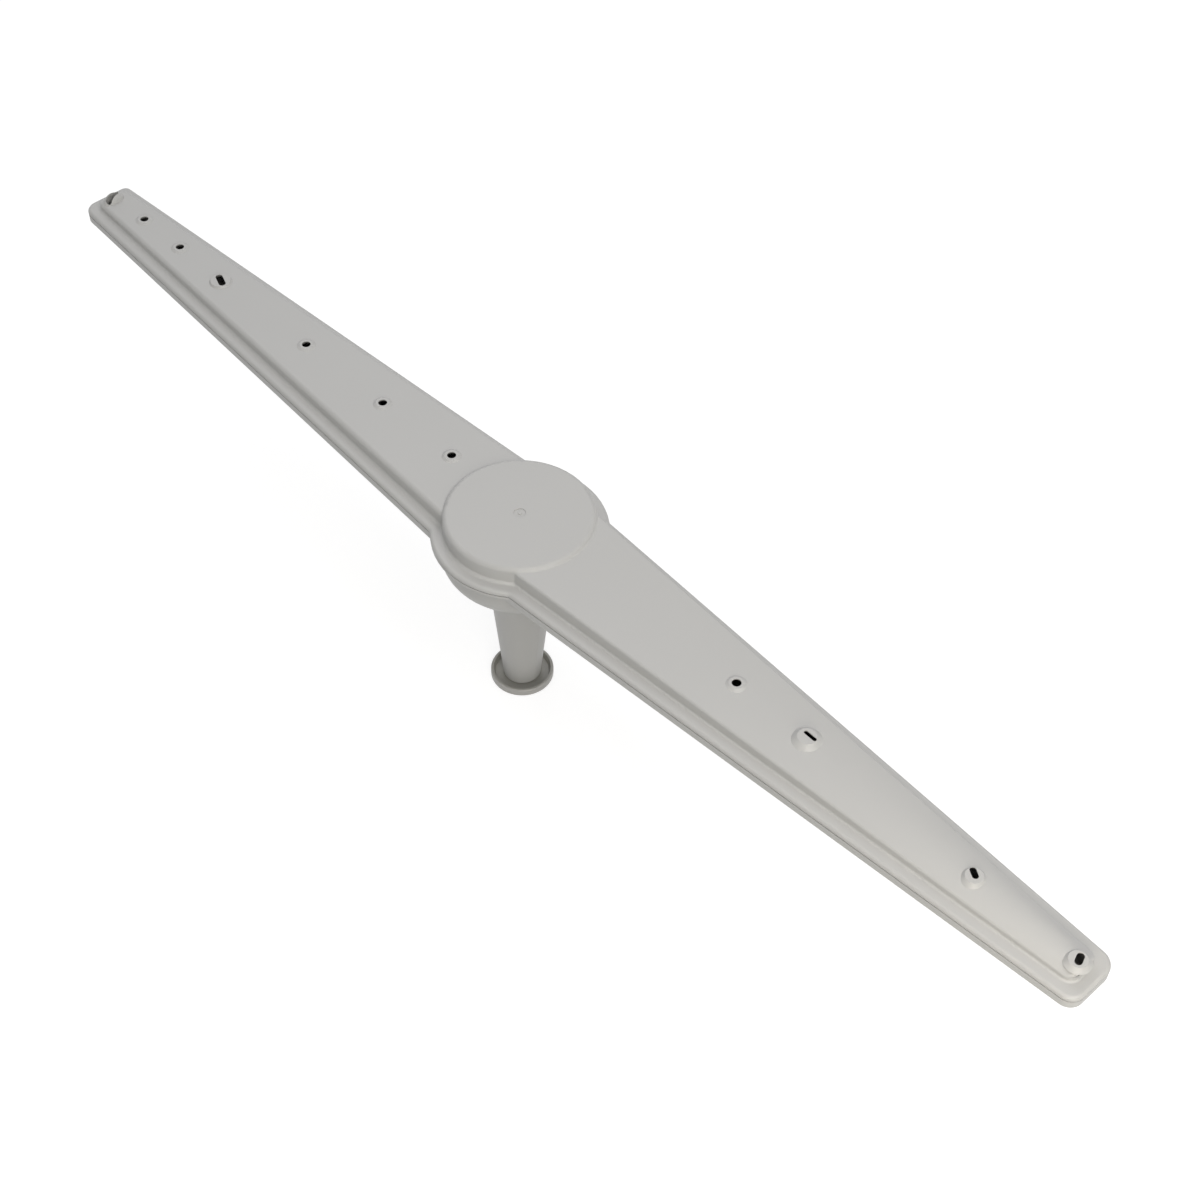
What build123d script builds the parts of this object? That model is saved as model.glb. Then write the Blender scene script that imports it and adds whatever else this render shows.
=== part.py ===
from build123d import *
import os
from math import sqrt

os.makedirs("parts", exist_ok=True)

# A two-shell moulded spray arm that turns on a flanged bush at the foot of its neck.
# The bush's lower face stands at z = 0, the arm turns about Z and its blades lie along X.

# Driving dimensions, millimetres
flat_length = 231.4            # flat blade, on the side of negative X: axis to its end
flat_centre_half = 23.28       # half width that its straight edges would have at the axis
flat_tip_half = 9.64           # half width at its end
flat_centre_shift = 0.25       # its middle line meets the axis this far towards positive Y
flat_tip_shift = 0.71          # and lies this far towards positive Y at its end
flat_front_corner = 5.0        # rounding of its end corner on the side of negative Y
flat_back_corner = 2.6         # the same on the side of positive Y
crown_length = 230.75          # crowned blade, on the side of positive X
crown_centre_half = 23.55
crown_tip_half = 9.64
crown_centre_shift = 0.44
crown_tip_shift = 0.31
crown_front_corner = 4.6
crown_back_corner = 5.3
hub_rim_radius = 29.0          # outside of the rim round the hub
hub_junction = 1.6             # rounding where the rim runs from the hub into a blade

rim_top = 72.6                 # height of the flat rim's upper face above the foot
rim_thickness = 1.5            # upper shell's rim
rim_rounding = 1.2             # outer upper edge of the rim
lip_depth = 3.5                # lower shell's lip below the seam
lip_inset = 0.05               # lower lip stands back from the rim above it
hub_lip_inset = 1.2            # the same round the hub, below the collar
hub_collar_inset = 0.1         # shallow collar that carries the seam on round the hub
hub_collar_depth = 0.9
lip_rounding = 0.6             # lower edge of the lip
seam_gap = 0.45                # groove that shows as the seam
seam_groove = 1.1              # its depth behind the lip's face
wall = 1.6                     # wall of both shells

flat_ledge = 3.95              # flat rim between the flat blade's edge and its raised body's wall
crown_ledge = 4.2              # the same at the crowned blade
end_ledge = 4.3                # the same at the end of a blade
body_corner = 3.4              # rounding of the raised body's end corners, seen from above
flat_edge = 1.5                # rounding of the flat body's upper edge
crown_edge = 0.8               # the same on the crowned body
flat_foot = 1.1                # hollow rounding at the foot of the flat blade's and disc's wall
crown_foot = 0.8               # the same at the crowned blade

flat_hub_height = 5.5          # flat blade's top above the rim, measured at the axis
flat_tip_height = 3.3          # the same at its end
crown_hub_height = 5.6         # crowned blade's ridge above the rim, at the axis
crown_tip_height = 4.5         # the same at its end
crown_tip_sag = 3.0            # fall from ridge to side wall at the end of the crowned blade
crown_height_power = 2.0       # how the ridge's height eases out along the blade
crown_sag_power = 1.9          # how the crown grows along the blade
crown_overhang = 0.4           # crown surface is made this much wider than the body below it
crown_least_share = 0.12       # nearer the axis than this share of the blade the crown stays as slight
crown_sections = 8             # sections that the crown surface passes through

disc_ledge = 4.2               # rim between its edge and the raised disc's wall
disc_height = 6.6              # disc's top above the rim
disc_edge = 1.6                # rounding of its upper edge
gate_radius = 2.0              # shallow gate dimple in the disc's centre
gate_depth = 0.3
gate_nub_radius = 0.6

trough_ledge = 3.4             # lower lip between its edge and the trough's wall
trough_hub_depth = 5.6         # trough's floor below the lip, at the axis
trough_tip_depth = 2.6         # the same at the end of a blade
trough_edge = 1.5              # rounding of the trough's lower edge

bowl_inset = 2.8               # bowl's wall under the hub stands back from the rim's edge
bowl_draft = 0.3               # how much narrower its wall is at the floor
bowl_depth = 17.7              # rim's upper face to the bowl's floor
bowl_corner = 8.7              # rounding between the bowl's wall and floor

neck_top_radius = 11.4         # neck where it leaves the bowl
neck_foot_radius = 6.4         # neck at its lower end
neck_foot_edge = 0.8           # rounding of the neck's lower edge
neck_blend = 1.2               # hollow rounding between bowl and neck

bush_flange_radius = 10.8
bush_flange_thickness = 2.9
bush_flange_edge = 0.5         # rounding of the flange's edges
bush_dish_radius = 9.8         # dish in the flange's upper face, in which the neck's foot turns
bush_dish_depth = 2.0
bush_dish_draft = 0.6          # how much narrower the dish is at its floor
bush_bore_radius = 4.0         # water inlet
bush_wall = 1.1                # sleeve inside the neck
bush_sleeve_length = 12.0      # sleeve above the flange
bush_lead = 0.4                # chamfer at the sleeve's upper end
running_clearance = 0.05       # sleeve in the neck, on the radius
end_clearance = 0.3            # neck's foot above the dish's floor
bead_height = 0.3              # snap bead on the sleeve
bead_width = 1.0
bead_from_top = 2.2            # bead's middle below the sleeve's upper end
bead_play = 0.2                # room round the bead in the neck's groove
snap_slot_width = 1.2          # slots that let the sleeve's upper end spring in
snap_slot_length = 6.0
snap_slot_pairs = 2            # opposite slots are cut together

# Nozzles: kind, place along the blade as a share of its length, offset along Y, turn from X in degrees.
# A negative share is on the flat blade.
nozzles = [
    ("round", -0.8882, 0.91, 0),
    ("round", -0.7932, 0.83, 0),
    ("oval", -0.6839, 0.15, -20),
    ("round", -0.4782, 1.09, 0),
    ("round", -0.3024, 1.42, 0),
    ("round", -0.1519, 1.75, 0),
    ("round", 0.4117, 0.97, 0),
    ("wide", 0.5369, 1.84, -2),
    ("tall", 0.8106, 0.2, -32),
    ("end", 0.9712, -0.3, -70),
]
# Kind: boss base radius, boss top radius, boss height, boss offset along X and Y, slot length, slot width
nozzle_kinds = {
    "round": (3.3, 2.3, 0.6, 0.0, 0.0, 3.0, 3.0),
    "oval": (4.1, 3.6, 0.8, 0.0, 0.0, 6.4, 2.5),
    "wide": (4.6, 3.0, 1.5, -0.5, -0.8, 4.8, 1.3),
    "tall": (3.4, 2.7, 0.9, 0.6, -0.6, 4.0, 2.0),
    "end": (3.4, 2.8, 0.7, -0.2, -0.3, 4.2, 2.25),
}
nozzle_land = 0.35             # straight part of an opening below the boss's top
nozzle_flare = 38              # opening widens inwards by this angle from upright

fan_share = 0.9637             # domed fan nozzle on the flat blade, as a share of its length
fan_y = -0.5
fan_length = 8.6               # dome's base across the blade
fan_width = 5.2                # dome's base along the blade
fan_height = 3.0               # dome's top above the plate beside it
fan_wall = 0.8                 # dome's wall
fan_slot_length = 6.2
fan_slot_width = 2.4
fan_slot_shift = 0.5           # slot's middle lies this far from the dome's, towards negative Y
fan_slot_turn = 17.0           # slot's turn from Y in degrees

# Heights and sizes that follow from the dimensions above
seam = rim_top - rim_thickness
lip_bottom = seam - lip_depth
bowl_foot = rim_top - bowl_depth
disc_radius = hub_rim_radius - disc_ledge
bowl_radius = hub_rim_radius - bowl_inset
dish_floor = bush_flange_thickness - bush_dish_depth
neck_foot = dish_floor + end_clearance
sleeve_radius = bush_bore_radius + bush_wall
neck_land_radius = sleeve_radius + running_clearance
sleeve_top = bush_flange_thickness + bush_sleeve_length
bead_middle = sleeve_top - bead_from_top
neck_slope = (neck_top_radius - neck_foot_radius) / (bowl_foot - neck_foot)
above_all = rim_top + 2 * disc_height
on_foot = (Align.CENTER, Align.CENTER, Align.MIN)
near = 0.01                    # edges and corners are found within this distance


class Blade:
    """One blade seen from above: way along X, length, half widths, middle line's shifts, end corners, ledge."""

    def __init__(self, way, length, halves, shifts, front_corner, back_corner, ledge):
        self.way = way
        self.length = length
        self.centre_half, self.tip_half = halves
        self.centre_shift, self.tip_shift = shifts
        self.front_corner = front_corner
        self.back_corner = back_corner
        self.ledge = ledge

    def half_width(self, x):
        """Rim's half width at a place along the blade."""
        share = min(abs(x) / self.length, 1)
        return self.centre_half + (self.tip_half - self.centre_half) * share

    def middle(self, x):
        """Where the blade's middle line lies along Y."""
        share = min(abs(x) / self.length, 1)
        return self.centre_shift + (self.tip_shift - self.centre_shift) * share

    def body_half(self, x):
        """Raised body's half width at a place along the blade."""
        return self.half_width(x) - self.ledge

    def outline(self, inset, end_inset, front_corner, back_corner):
        """The blade drawn in by inset at its sides and by end_inset at its end."""
        end = self.length - end_inset
        tip = self.half_width(end) - inset
        shift = self.middle(end)
        root = self.centre_half - inset
        x = self.way * end
        near_side, far_side = self.centre_shift - root, self.centre_shift + root
        face = make_face(Polyline((0, near_side), (x, shift - tip), (x, shift + tip), (0, far_side), close=True))
        face = fillet([v for v in face.vertices() if abs(v.X - x) < near and v.Y < 0], front_corner)
        far = shift + tip - near
        return fillet([v for v in face.vertices() if abs(v.X - x) < near and v.Y > far], back_corner)

    def edge_outline(self, inset):
        """The blade's own outer outline, drawn in by inset all round."""
        return self.outline(inset, inset, self.front_corner - inset, self.back_corner - inset)

    def body_outline(self, inset):
        """The raised body's outline, drawn in further by inset."""
        corner = body_corner - inset
        return self.outline(self.ledge + inset, end_ledge + inset, corner, corner)


flat_halves = (flat_centre_half, flat_tip_half)
flat_shifts = (flat_centre_shift, flat_tip_shift)
crown_halves = (crown_centre_half, crown_tip_half)
crown_shifts = (crown_centre_shift, crown_tip_shift)
flat = Blade(-1, flat_length, flat_halves, flat_shifts, flat_front_corner, flat_back_corner, flat_ledge)
crown = Blade(1, crown_length, crown_halves, crown_shifts, crown_front_corner, crown_back_corner, crown_ledge)
crown_reach = crown_length + crown_front_corner   # crown surface runs past the blade's end


def rim_face(inset, hub_inset):
    """The whole arm seen from above, its blades drawn in by inset and the round hub by hub_inset."""
    radius = hub_rim_radius - hub_inset
    face = flat.edge_outline(inset) + crown.edge_outline(inset) + Circle(radius)
    meets = [v for v in face.vertices() if sqrt(v.X ** 2 + v.Y ** 2) < radius + near]
    return fillet(meets, hub_junction)


def rising(face, bottom, top):
    """A face carried straight up from one height to another."""
    return extrude(Pos(0, 0, bottom) * face, top - bottom)


def sloping(blade, hub, tip, far):
    """Slab from height far to a slope that is at hub on the axis and at tip at the blade's end."""
    past = blade.length + blade.front_corner
    end = hub + (tip - hub) * past / blade.length
    x = blade.way * past
    side = Polyline((0, hub), (x, end), (x, far), (0, far), close=True)
    return extrude(Plane.XZ * make_face(side), hub_rim_radius, both=True)


def crown_height(x):
    """Height of the crowned blade's ridge above the rim."""
    share = 1 - min(x / crown_length, 1)
    return crown_tip_height + (crown_hub_height - crown_tip_height) * share ** crown_height_power


def crown_sag(x):
    """Fall from the ridge to the side wall of the crowned blade."""
    return crown_tip_sag * max(x / crown_length, crown_least_share) ** crown_sag_power


def crown_section(x, drop):
    """Upright section under the crown: an arc over three straight sides."""
    ridge = rim_top + crown_height(x) - drop
    half = crown.body_half(x)
    y = half + crown_overhang
    side = ridge - crown_sag(x) * (y / half) ** 2
    outline = Curve() + ThreePointArc((-y, side), (0, ridge), (y, side))
    outline += Polyline((y, side), (y, lip_bottom), (-y, lip_bottom), (-y, side))
    frame = Plane(origin=(x, crown.middle(x), 0), x_dir=(0, 1, 0), z_dir=(1, 0, 0))
    return frame * make_face(outline)


def flat_body(inset):
    """Raised body of the flat blade, or its hollow when drawn in by inset."""
    hub = rim_top + flat_hub_height - inset
    tip = rim_top + flat_tip_height - inset
    return rising(flat.body_outline(inset), seam, above_all) & sloping(flat, hub, tip, lip_bottom)


def crown_body(inset):
    """Raised body of the crowned blade, or its hollow when drawn in by inset."""
    step = crown_reach / (crown_sections - 1)
    under = loft([crown_section(step * i, inset) for i in range(crown_sections)])
    return rising(crown.body_outline(inset), seam, above_all) & under


def level_edges(body, low, high):
    """Edges that run along a blade's body between two heights, apart from the one at the axis."""
    found = []
    for e in body.edges():
        middle = e @ 0.5
        upright = abs(e.tangent_at(0.5).Z) > 0.9
        if low < middle.Z < high and abs(middle.X) > near and not upright:
            found.append(e)
    return found


def foot_edges(shell, crowned):
    """Edges where the raised walls stand on the rim: the crowned blade's, or the others."""
    found = []
    for e in shell.edges():
        middle = e @ 0.5
        blade = crown if middle.X > 0 else flat
        beside = abs(middle.Y - blade.middle(middle.X)) < blade.body_half(middle.X) + near
        inside = beside and abs(middle.X) < blade.length - end_ledge + near
        on_disc = abs(sqrt(middle.X ** 2 + middle.Y ** 2) - disc_radius) < near
        on_crown = middle.X > 0 and not on_disc
        if abs(middle.Z - rim_top) < near and (inside or on_disc) and on_crown == crowned:
            found.append(e)
    return found


def plate_height(x, y):
    """Top surface of a blade above the rim at a place."""
    if x < 0:
        return flat_hub_height + (flat_tip_height - flat_hub_height) * -x / flat_length
    half = crown.body_half(x)
    return crown_height(x) - crown_sag(x) * ((y - crown.middle(x)) / half) ** 2


def nozzle_place(share):
    """Distance along X of a nozzle at a share of its blade's length."""
    return share * (crown_length if share > 0 else flat_length)


def nozzle_boss(kind, x, y):
    """Low cone round a nozzle's opening."""
    base, top, height, aside, across, length, width = nozzle_kinds[kind]
    root = wall / 2
    grow = (base - top) / height
    cone = Cone(base + grow * root, top, height + root, align=on_foot)
    return Pos(x + aside, y + across, rim_top + plate_height(x, y) - root) * cone


def slot_face(length, width):
    """A round hole, or a slot with round ends."""
    if length > width:
        return SlotOverall(length, width)
    return Circle(width / 2)


def nozzle_opening(kind, x, y, turn):
    """Opening through the plate: a short straight land, then a flare that widens inwards."""
    base, top, height, aside, across, length, width = nozzle_kinds[kind]
    face = slot_face(length, width)
    land = extrude(face, disc_height)
    flare = extrude(face, -(wall + 2 * height), taper=-nozzle_flare)
    return Pos(x, y, rim_top + plate_height(x, y) + height - nozzle_land) * Rot(0, 0, turn) * (land + flare)


def fan_place():
    """Where the fan nozzle stands on the plate."""
    x = -fan_share * flat_length
    return Pos(x, fan_y, rim_top + plate_height(x, 0) - wall / 2)


def fan_dome(inset):
    """Dome of the fan nozzle, flattened along the blade, or its hollow when drawn in by inset."""
    height = fan_height + wall / 2 - inset
    dome = scale(Sphere(1.0), by=(fan_width / 2 - inset, fan_length / 2 - inset, height))
    above = Pos(0, 0, fan_height) * Box(4 * fan_width, 4 * fan_length, 2 * fan_height)
    return fan_place() * (dome & above)


def fan_opening():
    """Hollow of the fan nozzle's dome, its way down into the blade, and the slot across the dome."""
    turned = fan_place() * Rot(0, 0, 90 + fan_slot_turn) * Pos(-fan_slot_shift, 0, 0)
    slot = turned * extrude(SlotOverall(fan_slot_length, fan_slot_width), 2 * disc_height)
    inner = Ellipse(fan_width / 2 - fan_wall, fan_length / 2 - fan_wall)
    return slot + fan_dome(fan_wall) + fan_place() * extrude(inner, wall, both=True)


def gate_dimple():
    """Shallow ring that the moulding gate leaves in the disc's centre."""
    ring = Cylinder(gate_radius, gate_depth) - Cylinder(gate_nub_radius, gate_depth)
    return Pos(0, 0, rim_top + disc_height - gate_depth / 2) * ring


def upper_shell():
    """Upper half: flat rim, raised blades, hub disc, nozzles, hollow below."""
    rim = rising(rim_face(0, 0), seam, rim_top)
    rim = fillet(rim.edges().group_by(Axis.Z)[-1], rim_rounding)
    flat_top = fillet(level_edges(flat_body(0), rim_top, above_all), flat_edge)
    crown_top = fillet(level_edges(crown_body(0), rim_top, above_all), crown_edge)
    disc = Pos(0, 0, seam) * Cylinder(disc_radius, rim_thickness + disc_height, align=on_foot)
    disc = fillet(disc.edges().sort_by(Axis.Z)[-1], disc_edge)
    shell = rim + disc + flat_top + crown_top
    shell = fillet(foot_edges(shell, False), flat_foot)
    shell = fillet(foot_edges(shell, True), crown_foot)
    for kind, share, y, turn in nozzles:
        shell += nozzle_boss(kind, nozzle_place(share), y)
    shell += fan_dome(0)
    chamber = Cylinder(disc_radius - wall, rim_thickness + disc_height - wall, align=on_foot)
    shell = shell - flat_body(wall) - crown_body(wall) - Pos(0, 0, seam) * chamber
    for kind, share, y, turn in nozzles:
        shell -= nozzle_opening(kind, nozzle_place(share), y, turn)
    return shell - fan_opening() - gate_dimple()


def trough(blade, inset, rise):
    """A blade's trough below the lip, its inclined floor raised by rise."""
    hub = lip_bottom - trough_hub_depth + rise
    tip = lip_bottom - trough_tip_depth + rise
    face = blade.outline(inset, inset, body_corner - rise, body_corner - rise)
    return rising(face, hub, seam) & sloping(blade, hub, tip, seam)


def bowl(inset):
    """Bowl under the hub, drawn in by inset: a drafted wall rounded into a flat floor."""
    mouth = bowl_radius - inset
    base = mouth - bowl_draft
    floor = bowl_foot + inset
    side = Polyline((mouth, seam), (mouth, lip_bottom), (base, floor), (0, floor), (0, seam), close=True)
    face = make_face(side)
    corner = [v for v in face.vertices() if abs(v.X - base) < near and abs(v.Y - floor) < near]
    return revolve(Plane.XZ * fillet(corner, bowl_corner - inset), Axis.Z)


def lower_shell():
    """Lower half: lip, troughs, bowl and the tapering neck, all one moulding."""
    lip = rising(rim_face(lip_inset, hub_lip_inset), lip_bottom, seam - seam_gap)
    lip = fillet(lip.edges().group_by(Axis.Z)[0], lip_rounding)
    collar = Cylinder(hub_rim_radius - hub_collar_inset, hub_collar_depth, align=on_foot)
    lip += Pos(0, 0, seam - seam_gap - hub_collar_depth) * collar
    inner = rim_face(lip_inset + seam_groove, hub_lip_inset + seam_groove)
    tongue = rising(inner, lip_bottom + lip_rounding, seam)
    set_in = lip_inset + trough_ledge
    troughs = [trough(flat, set_in, 0), trough(crown, set_in, 0)]
    outside = [fillet(level_edges(t, bowl_foot, lip_bottom), trough_edge) for t in troughs]
    neck = Cone(neck_foot_radius, neck_top_radius, bowl_foot - neck_foot, align=on_foot)
    neck = fillet(neck.edges().sort_by(Axis.Z)[0], neck_foot_edge)
    hub = bowl(0) + Pos(0, 0, neck_foot) * neck
    circles = [e for e in hub.edges().filter_by(GeomType.CIRCLE) if abs(e.radius - neck_top_radius) < near]
    hub = fillet(circles, neck_blend)
    shell = lip + tongue + outside[0] + outside[1] + hub
    hollow = trough(flat, set_in + wall, wall) + trough(crown, set_in + wall, wall) + bowl(wall)
    return shell - hollow - neck_bore()


def neck_bore():
    """Inside of the neck: straight land for the sleeve, snap groove, taper up into the bowl."""
    land_top = sleeve_top + bush_lead
    taper_bottom = neck_foot_radius + neck_slope * (land_top - neck_foot) - wall
    taper_top = neck_foot_radius + neck_slope * (lip_bottom - neck_foot) - wall
    land = Pos(0, 0, neck_foot) * Cylinder(neck_land_radius, land_top - neck_foot, align=on_foot)
    taper = Pos(0, 0, land_top) * Cone(taper_bottom, taper_top, lip_bottom - land_top, align=on_foot)
    groove_radius = sleeve_radius + bead_height + bead_play
    groove = Pos(0, 0, bead_middle) * Cylinder(groove_radius, bead_width + 2 * bead_play)
    return land + taper + groove


def bearing_bush():
    """Flanged bush: the foot ring below the neck, and a sleeve that snaps into it."""
    flange = Cylinder(bush_flange_radius, bush_flange_thickness, align=on_foot)
    flange = fillet(flange.edges(), bush_flange_edge)
    dish = Cone(bush_dish_radius - bush_dish_draft, bush_dish_radius, bush_dish_depth, align=on_foot)
    flange -= Pos(0, 0, dish_floor) * dish
    sleeve = Cylinder(sleeve_radius, sleeve_top, align=on_foot)
    sleeve = chamfer(sleeve.edges().sort_by(Axis.Z)[-1], bush_lead)
    side = bead_width / 2
    root = sleeve_radius - bead_height
    inner = [(root, side), (root, -side)]
    outer = [(sleeve_radius, -side), (sleeve_radius + bead_height, 0), (sleeve_radius, side)]
    ridge = Polyline(inner + outer, close=True)
    bead = Pos(0, 0, bead_middle) * revolve(Plane.XZ * make_face(ridge), Axis.Z)
    bush = flange + sleeve + bead - Cylinder(bush_bore_radius, 3 * sleeve_top)
    slot = Pos(0, 0, sleeve_top) * Box(4 * sleeve_radius, snap_slot_width, 2 * snap_slot_length)
    for i in range(snap_slot_pairs):
        bush -= Rot(0, 0, 180 * i / snap_slot_pairs) * slot
    return bush


pieces = {
    "upper_shell": upper_shell(),
    "lower_shell": lower_shell(),
    "bearing_bush": bearing_bush(),
}
for name, piece in pieces.items():
    export_step(piece, f"parts/{name}.step")
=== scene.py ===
"""Dishwasher spray arm: finishes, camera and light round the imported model.

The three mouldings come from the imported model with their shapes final. This script gives each its plastic, lays a
pale floor, hangs the lamps and sets the camera.
"""
import logging
from dataclasses import dataclass
from enum import Enum
from typing import Any

import bpy
import numpy as np
from mathutils import Matrix, Vector

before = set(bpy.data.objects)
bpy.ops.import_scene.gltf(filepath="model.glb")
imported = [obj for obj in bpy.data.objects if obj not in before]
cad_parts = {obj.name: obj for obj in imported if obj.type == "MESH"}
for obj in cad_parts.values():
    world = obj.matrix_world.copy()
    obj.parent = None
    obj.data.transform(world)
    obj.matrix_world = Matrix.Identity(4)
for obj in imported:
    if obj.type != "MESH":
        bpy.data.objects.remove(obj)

LOG = logging.getLogger("spray_arm")
MM = 0.001
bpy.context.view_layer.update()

Point = tuple[float, float, float]


class Moulding(Enum):
    """The arm's three mouldings, by their node's name."""

    UPPER_SHELL = "upper_shell"
    LOWER_SHELL = "lower_shell"
    BEARING_BUSH = "bearing_bush"


def linear(code: str) -> tuple[float, float, float, float]:
    """An sRGB hex colour as linear red, green, blue and full opacity.

    Below a knee the linear value is the share divided by a slope. Above it, it is the lifted share to a power.

    Args:
        code: six hex digits.

    Returns:
        The four linear values.
    """
    knee, slope, lift, power = 0.04045, 12.92, 0.055, 2.4
    share = np.array([int(code[start:start + 2], 16) for start in (0, 2, 4)]) / 255
    red, green, blue = np.where(share <= knee, share / slope, ((share + lift) / (1 + lift)) ** power)
    return (float(red), float(green), float(blue), 1.0)


def add_node(
    tree: bpy.types.NodeTree,
    kind: str,
    settings: dict[str, Any] | None = None,
    values: dict[str | int, Any] | None = None,
    links: dict[str | int, bpy.types.NodeSocket] | None = None,
) -> bpy.types.Node:
    """Adds one shader node.

    Args:
        tree: node tree that gets the node.
        kind: the node's type.
        settings: the node's own properties.
        values: constant values, by input name or index.
        links: output sockets to join, by input name or index.

    Returns:
        The node.
    """
    node = tree.nodes.new(kind)
    for name, value in (settings or {}).items():
        setattr(node, name, value)
    for name, value in (values or {}).items():
        node.inputs[name].default_value = value
    for name, socket in (links or {}).items():
        tree.links.new(socket, node.inputs[name])
    return node


def fresh_tree(owner: bpy.types.Material | bpy.types.World) -> bpy.types.NodeTree:
    """Gives a material or a world an empty node tree.

    Args:
        owner: the material or world.

    Returns:
        Its node tree.
    """
    owner.use_nodes = True
    owner.node_tree.nodes.clear()
    return owner.node_tree


def axis_distance(
    tree: bpy.types.NodeTree, low: float, high: float, at_low: float = 0.0, at_high: float = 1.0
) -> bpy.types.NodeSocket:
    """Makes a value that goes evenly from one level to another with the distance from the upright axis.

    Args:
        tree: node tree that gets the nodes.
        low: distance up to which the first level holds, in metres.
        high: distance from which the second level holds, in metres.
        at_low: the first level.
        at_high: the second level.

    Returns:
        The value's socket.
    """
    place = add_node(tree, "ShaderNodeTexCoord").outputs["Object"]
    level = add_node(
        tree, "ShaderNodeVectorMath", {"operation": "MULTIPLY"}, values={1: (1.0, 1.0, 0.0)}, links={0: place}
    )
    radius = add_node(tree, "ShaderNodeVectorMath", {"operation": "LENGTH"}, links={0: level.outputs["Vector"]})
    return add_node(
        tree,
        "ShaderNodeMapRange",
        values={"From Min": low, "From Max": high, "To Min": at_low, "To Max": at_high},
        links={"Value": radius.outputs["Value"]},
    ).outputs["Result"]


@dataclass(frozen=True)
class MouldedPolypropylene:
    """Filled polypropylene, injection moulded against a finely spark-eroded steel face.

    It gives the eye a soft, broad satin sheen over an even light grey, with a faint grain and no sharp mirror image.
    Where the melt flowed and cooled unevenly it is a shade cloudier and a little more matt.
    """

    name: str
    colour: str
    cloud_colour: str
    roughness: float = 0.42
    cloud_roughness: float = 0.46
    ior: float = 1.49
    cloud_mm: float = 38.0
    grain_mm: float = 0.35  # the real pits are about 0.05 mm across; drawn coarser so that they show at all
    grain_depth_mm: float = 0.004
    noise_detail: float = 2.0
    noise_roughness: float = 0.5

    def build(self) -> bpy.types.Material:
        """Makes the material.

        Returns:
            The material.
        """
        material = bpy.data.materials.new(self.name)
        tree = fresh_tree(material)
        place = add_node(tree, "ShaderNodeTexCoord").outputs["Object"]
        cloud = self.noise(tree, place, self.cloud_mm)
        matt = add_node(
            tree,
            "ShaderNodeMapRange",
            values={"To Min": self.roughness, "To Max": self.cloud_roughness},
            links={"Value": cloud},
        )
        bump = add_node(
            tree,
            "ShaderNodeBump",
            values={"Strength": 1.0, "Distance": self.grain_depth_mm * MM},
            links={"Height": self.noise(tree, place, self.grain_mm)},
        )
        shader = add_node(
            tree,
            "ShaderNodeBsdfPrincipled",
            values={"IOR": self.ior},
            links={
                "Base Color": self.tone(tree, cloud),
                "Roughness": matt.outputs["Result"],
                "Normal": bump.outputs["Normal"],
            },
        )
        add_node(tree, "ShaderNodeOutputMaterial", links={"Surface": shader.outputs["BSDF"]})
        return material

    def tone(self, tree: bpy.types.NodeTree, cloud: bpy.types.NodeSocket) -> bpy.types.NodeSocket:
        """Makes the colour over the surface.

        Args:
            tree: node tree that gets the node.
            cloud: socket that is 1 where the surface is cloudiest.

        Returns:
            The colour's socket.
        """
        return add_node(
            tree,
            "ShaderNodeMix",
            settings={"data_type": "RGBA"},
            values={"A": linear(self.colour), "B": linear(self.cloud_colour)},
            links={"Factor": cloud},
        ).outputs["Result"]

    def noise(self, tree: bpy.types.NodeTree, place: bpy.types.NodeSocket, size_mm: float) -> bpy.types.NodeSocket:
        """Makes soft noise over the surface.

        Args:
            tree: node tree that gets the node.
            place: socket with the Object coordinates.
            size_mm: width of one blotch, in millimetres.

        Returns:
            The noise's value, from 0 to 1.
        """
        values = {"Scale": 1 / (size_mm * MM), "Detail": self.noise_detail, "Roughness": self.noise_roughness}
        return add_node(tree, "ShaderNodeTexNoise", values=values, links={"Vector": place}).outputs["Fac"]


@dataclass(frozen=True)
class DishShadedPolypropylene(MouldedPolypropylene):
    """The same moulded polypropylene, with painted shade in a round dish about the upright axis.

    It gives the eye a light grey ring whose dish is painted a darker, browner grey, standing in for the shade in the
    recess under the arm.
    """

    # painted shade: the darker colour painted into the dish in place of the shade under the arm
    dish_shade_colour: str = "9F9E98"
    dish_shade_radius_mm: float = 10.3
    dish_shade_fade_mm: float = 0.4

    def tone(self, tree: bpy.types.NodeTree, cloud: bpy.types.NodeSocket) -> bpy.types.NodeSocket:
        """Makes the colour over the surface, with the painted shade inside its radius about the upright axis.

        Args:
            tree: node tree that gets the nodes.
            cloud: socket that is 1 where the surface is cloudiest.

        Returns:
            The colour's socket.
        """
        # painted shade: inside this radius the colour turns to the darker dish colour
        edge = self.dish_shade_radius_mm * MM
        unshaded = axis_distance(tree, edge, edge + self.dish_shade_fade_mm * MM)
        return add_node(
            tree,
            "ShaderNodeMix",
            settings={"data_type": "RGBA"},
            values={"A": linear(self.dish_shade_colour)},
            links={"Factor": unshaded, "B": super().tone(tree, cloud)},
        ).outputs["Result"]


def dress(moulding: Moulding, material: bpy.types.Material) -> None:
    """Gives a moulding its finish.

    Args:
        moulding: the moulding.
        material: its finish.
    """
    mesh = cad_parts[moulding.value].data
    mesh.materials.clear()
    mesh.materials.append(material)
    LOG.info("%s: %s", moulding.value, material.name)


@dataclass
class TurningArm:
    """The two shells, which turn together: blades and hub disc above, troughs, bowl and neck below."""

    plastic: MouldedPolypropylene = MouldedPolypropylene("light_grey_polypropylene", "BDBDBB", "BBBBB9")

    def build(self) -> None:
        """Dresses both shells in one plastic, as they come from one batch."""
        material = self.plastic.build()
        dress(Moulding.UPPER_SHELL, material)
        dress(Moulding.LOWER_SHELL, material)


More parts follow.
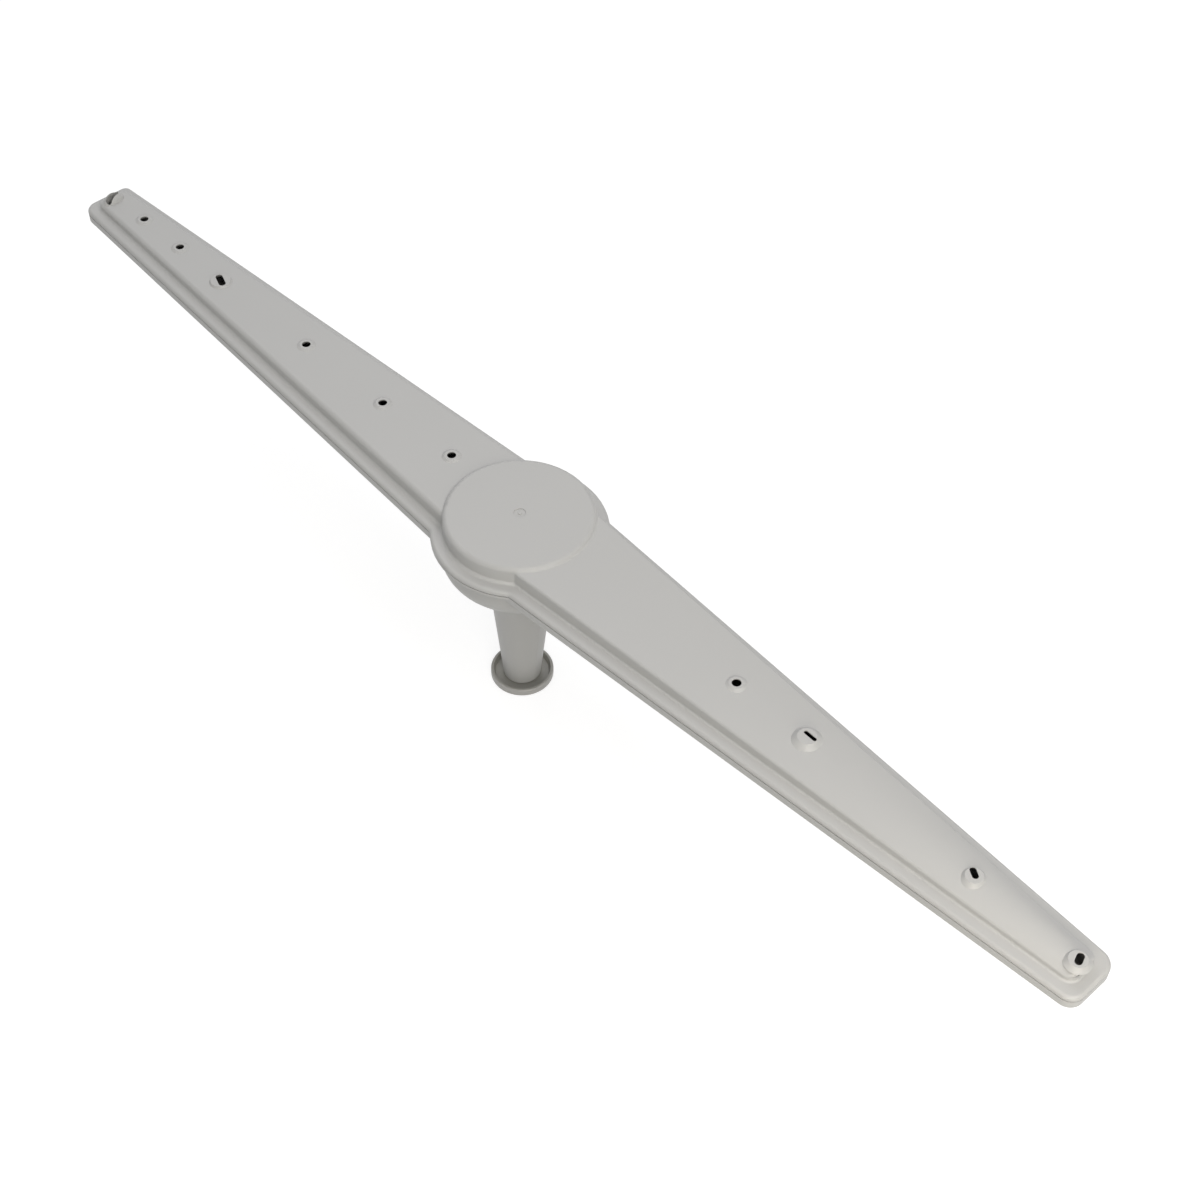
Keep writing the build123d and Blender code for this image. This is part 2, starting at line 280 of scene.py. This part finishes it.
@dataclass
class Bearing:
    """The flanged bush that stays still in the neck's foot."""

    # the darker dish colour of this finish is painted shade
    plastic: DishShadedPolypropylene = DishShadedPolypropylene("grey_polypropylene_painted_dish_shade", "BAB9B6", "B7B6B3")

    def build(self) -> None:
        """Dresses the bush."""
        dress(Moulding.BEARING_BUSH, self.plastic.build())


@dataclass(frozen=True)
class Lamp:
    """One square soft lamp: place and aim in metres, side in metres, power in watts, spread in degrees."""

    name: str
    place: Point
    aim: Point
    side: float
    watts: float
    colour: str
    spread: float = 180.0

    def build(self) -> None:
        """Hangs the lamp, its face towards the aim."""
        data = bpy.data.lights.new(self.name, "AREA")
        data.shape = "SQUARE"
        data.size = self.side
        data.energy = self.watts
        data.spread = np.radians(self.spread)
        data.color = linear(self.colour)[:3]
        lamp = bpy.data.objects.new(self.name, data)
        bpy.context.scene.collection.objects.link(lamp)
        lamp.location = self.place
        lamp.rotation_euler = (Vector(self.aim) - Vector(self.place)).to_track_quat("-Z", "Y").to_euler()
        LOG.info("lamp: %s", self.name)


@dataclass
class Camera:
    """The photograph's view: place in metres, the three directions of the frame, lens in millimetres."""

    place: Point = (0.3474, -0.3069, 0.5575)
    right: Point = (0.690, 0.724, 0.018)
    up: Point = (-0.550, 0.508, 0.662)
    lens: float = 62.66
    sensor: float = 36.0
    shift_right: float = -0.0015
    shift_up: float = 0.00675
    far: float = 20.0

    def build(self) -> None:
        """Sets the camera, with its frame's directions made square to each other."""
        right = Vector(self.right).normalized()
        back = right.cross(Vector(self.up)).normalized()
        data = bpy.data.cameras.new("camera")
        data.sensor_width = self.sensor
        data.lens = self.lens
        data.shift_x = self.shift_right
        data.shift_y = self.shift_up
        data.clip_end = self.far
        camera = bpy.data.objects.new("camera", data)
        bpy.context.scene.collection.objects.link(camera)
        turn = Matrix((right, back.cross(right), back)).transposed().to_4x4()
        camera.matrix_world = Matrix.Translation(self.place) @ turn
        bpy.context.scene.camera = camera


@dataclass
class Studio:
    """Pale floor, white surround and soft lamps."""

    floor_side: float = 6.0
    floor_colour: str = "C4C4C4"
    floor_shade_colour: str = "A8A8A8"
    floor_glow: float = 0.78
    far_glow: float = 1.0
    near_radius: float = 0.45
    far_radius: float = 1.3
    world_strength: float = 0.39
    lamps: tuple[Lamp, ...] = (
        Lamp("right_front", (0.75, -0.45, 0.4), (0.15, 0.0, 0.07), 0.4, 1.8, "FFFBEF"),
        Lamp("right_tip", (0.33, -0.2, 0.2), (0.3, 0.1, 0.05), 0.12, 0.07, "FFF4E2", spread=100.0),
        Lamp("right_top", (0.5, -0.1, 0.7), (0.15, 0.0, 0.07), 0.5, 2.65, "FFFBF8"),
        Lamp("left_top", (-0.6, 0.3, 0.9), (0.0, 0.0, 0.07), 0.6, 2.05, "FAFAFF"),
    )

    def floor(self) -> None:
        """Lays the floor, a level square round the origin.

        To the camera, and in mirror images, it glows nearly white and adds what falls on it, so it keeps the arm's
        shadow, and far from the arm it runs into the white surround with no edge. For the light that it throws back
        at the arm it is a plain pale floor.
        """
        turns = np.radians([225, 315, 45, 135])
        corners = np.stack([np.cos(turns), np.sin(turns), np.zeros(4)], axis=1) * self.floor_side / np.sqrt(2)
        mesh = bpy.data.meshes.new("floor")
        mesh.from_pydata(corners.tolist(), [], [(0, 1, 2, 3)])
        floor = bpy.data.objects.new("floor", mesh)
        bpy.context.scene.collection.objects.link(floor)
        material = bpy.data.materials.new("pale_floor")
        tree = fresh_tree(material)
        plain = add_node(tree, "ShaderNodeBsdfDiffuse", values={"Color": linear(self.floor_colour)})
        shaded = add_node(tree, "ShaderNodeBsdfDiffuse", values={"Color": linear(self.floor_shade_colour)})
        spread = axis_distance(tree, self.near_radius, self.far_radius, self.floor_glow, self.far_glow)
        glow = add_node(tree, "ShaderNodeEmission", links={"Strength": spread})
        seen = add_node(tree, "ShaderNodeAddShader", links={0: shaded.outputs[0], 1: glow.outputs[0]})
        mix = add_node(
            tree,
            "ShaderNodeMixShader",
            links={0: self.looking_rays(tree), 1: plain.outputs[0], 2: seen.outputs[0]},
        )
        add_node(tree, "ShaderNodeOutputMaterial", links={"Surface": mix.outputs[0]})
        mesh.materials.append(material)
        LOG.info("floor: %s", material.name)

    @staticmethod
    def looking_rays(tree: bpy.types.NodeTree) -> bpy.types.NodeSocket:
        """Tells the rays that look, straight or in a mirror image, from the rays that light.

        Args:
            tree: node tree that gets the nodes.

        Returns:
            A socket that is 1 for the rays that look.
        """
        rays = add_node(tree, "ShaderNodeLightPath").outputs
        larger = {"operation": "MAXIMUM"}
        mirrored = add_node(
            tree, "ShaderNodeMath", larger, links={0: rays["Is Glossy Ray"], 1: rays["Is Transmission Ray"]}
        )
        looking = add_node(
            tree, "ShaderNodeMath", larger, links={0: rays["Is Camera Ray"], 1: mirrored.outputs[0]}
        )
        return looking.outputs[0]

    def surround(self) -> None:
        """Lights the scene evenly from all round, and is white behind the floor's edge."""
        world = bpy.data.worlds.new("studio")
        bpy.context.scene.world = world
        tree = fresh_tree(world)
        white = linear("FFFFFF")
        dim = add_node(tree, "ShaderNodeBackground", values={"Color": white, "Strength": self.world_strength})
        bright = add_node(tree, "ShaderNodeBackground", values={"Color": white, "Strength": 1.0})
        mix = add_node(
            tree,
            "ShaderNodeMixShader",
            links={0: self.looking_rays(tree), 1: dim.outputs[0], 2: bright.outputs[0]},
        )
        add_node(tree, "ShaderNodeOutputWorld", links={"Surface": mix.outputs[0]})

    def build(self) -> None:
        """Makes floor, surround and lamps."""
        self.floor()
        self.surround()
        for lamp in self.lamps:
            lamp.build()


def main() -> None:
    """Builds the camera, the arm's finishes and the studio in order."""
    logging.basicConfig(level=logging.INFO, format="%(message)s")
    bpy.context.scene.view_settings.view_transform = "Standard"
    Camera().build()
    TurningArm().build()
    Bearing().build()
    Studio().build()


if __name__ == "__main__":
    main()
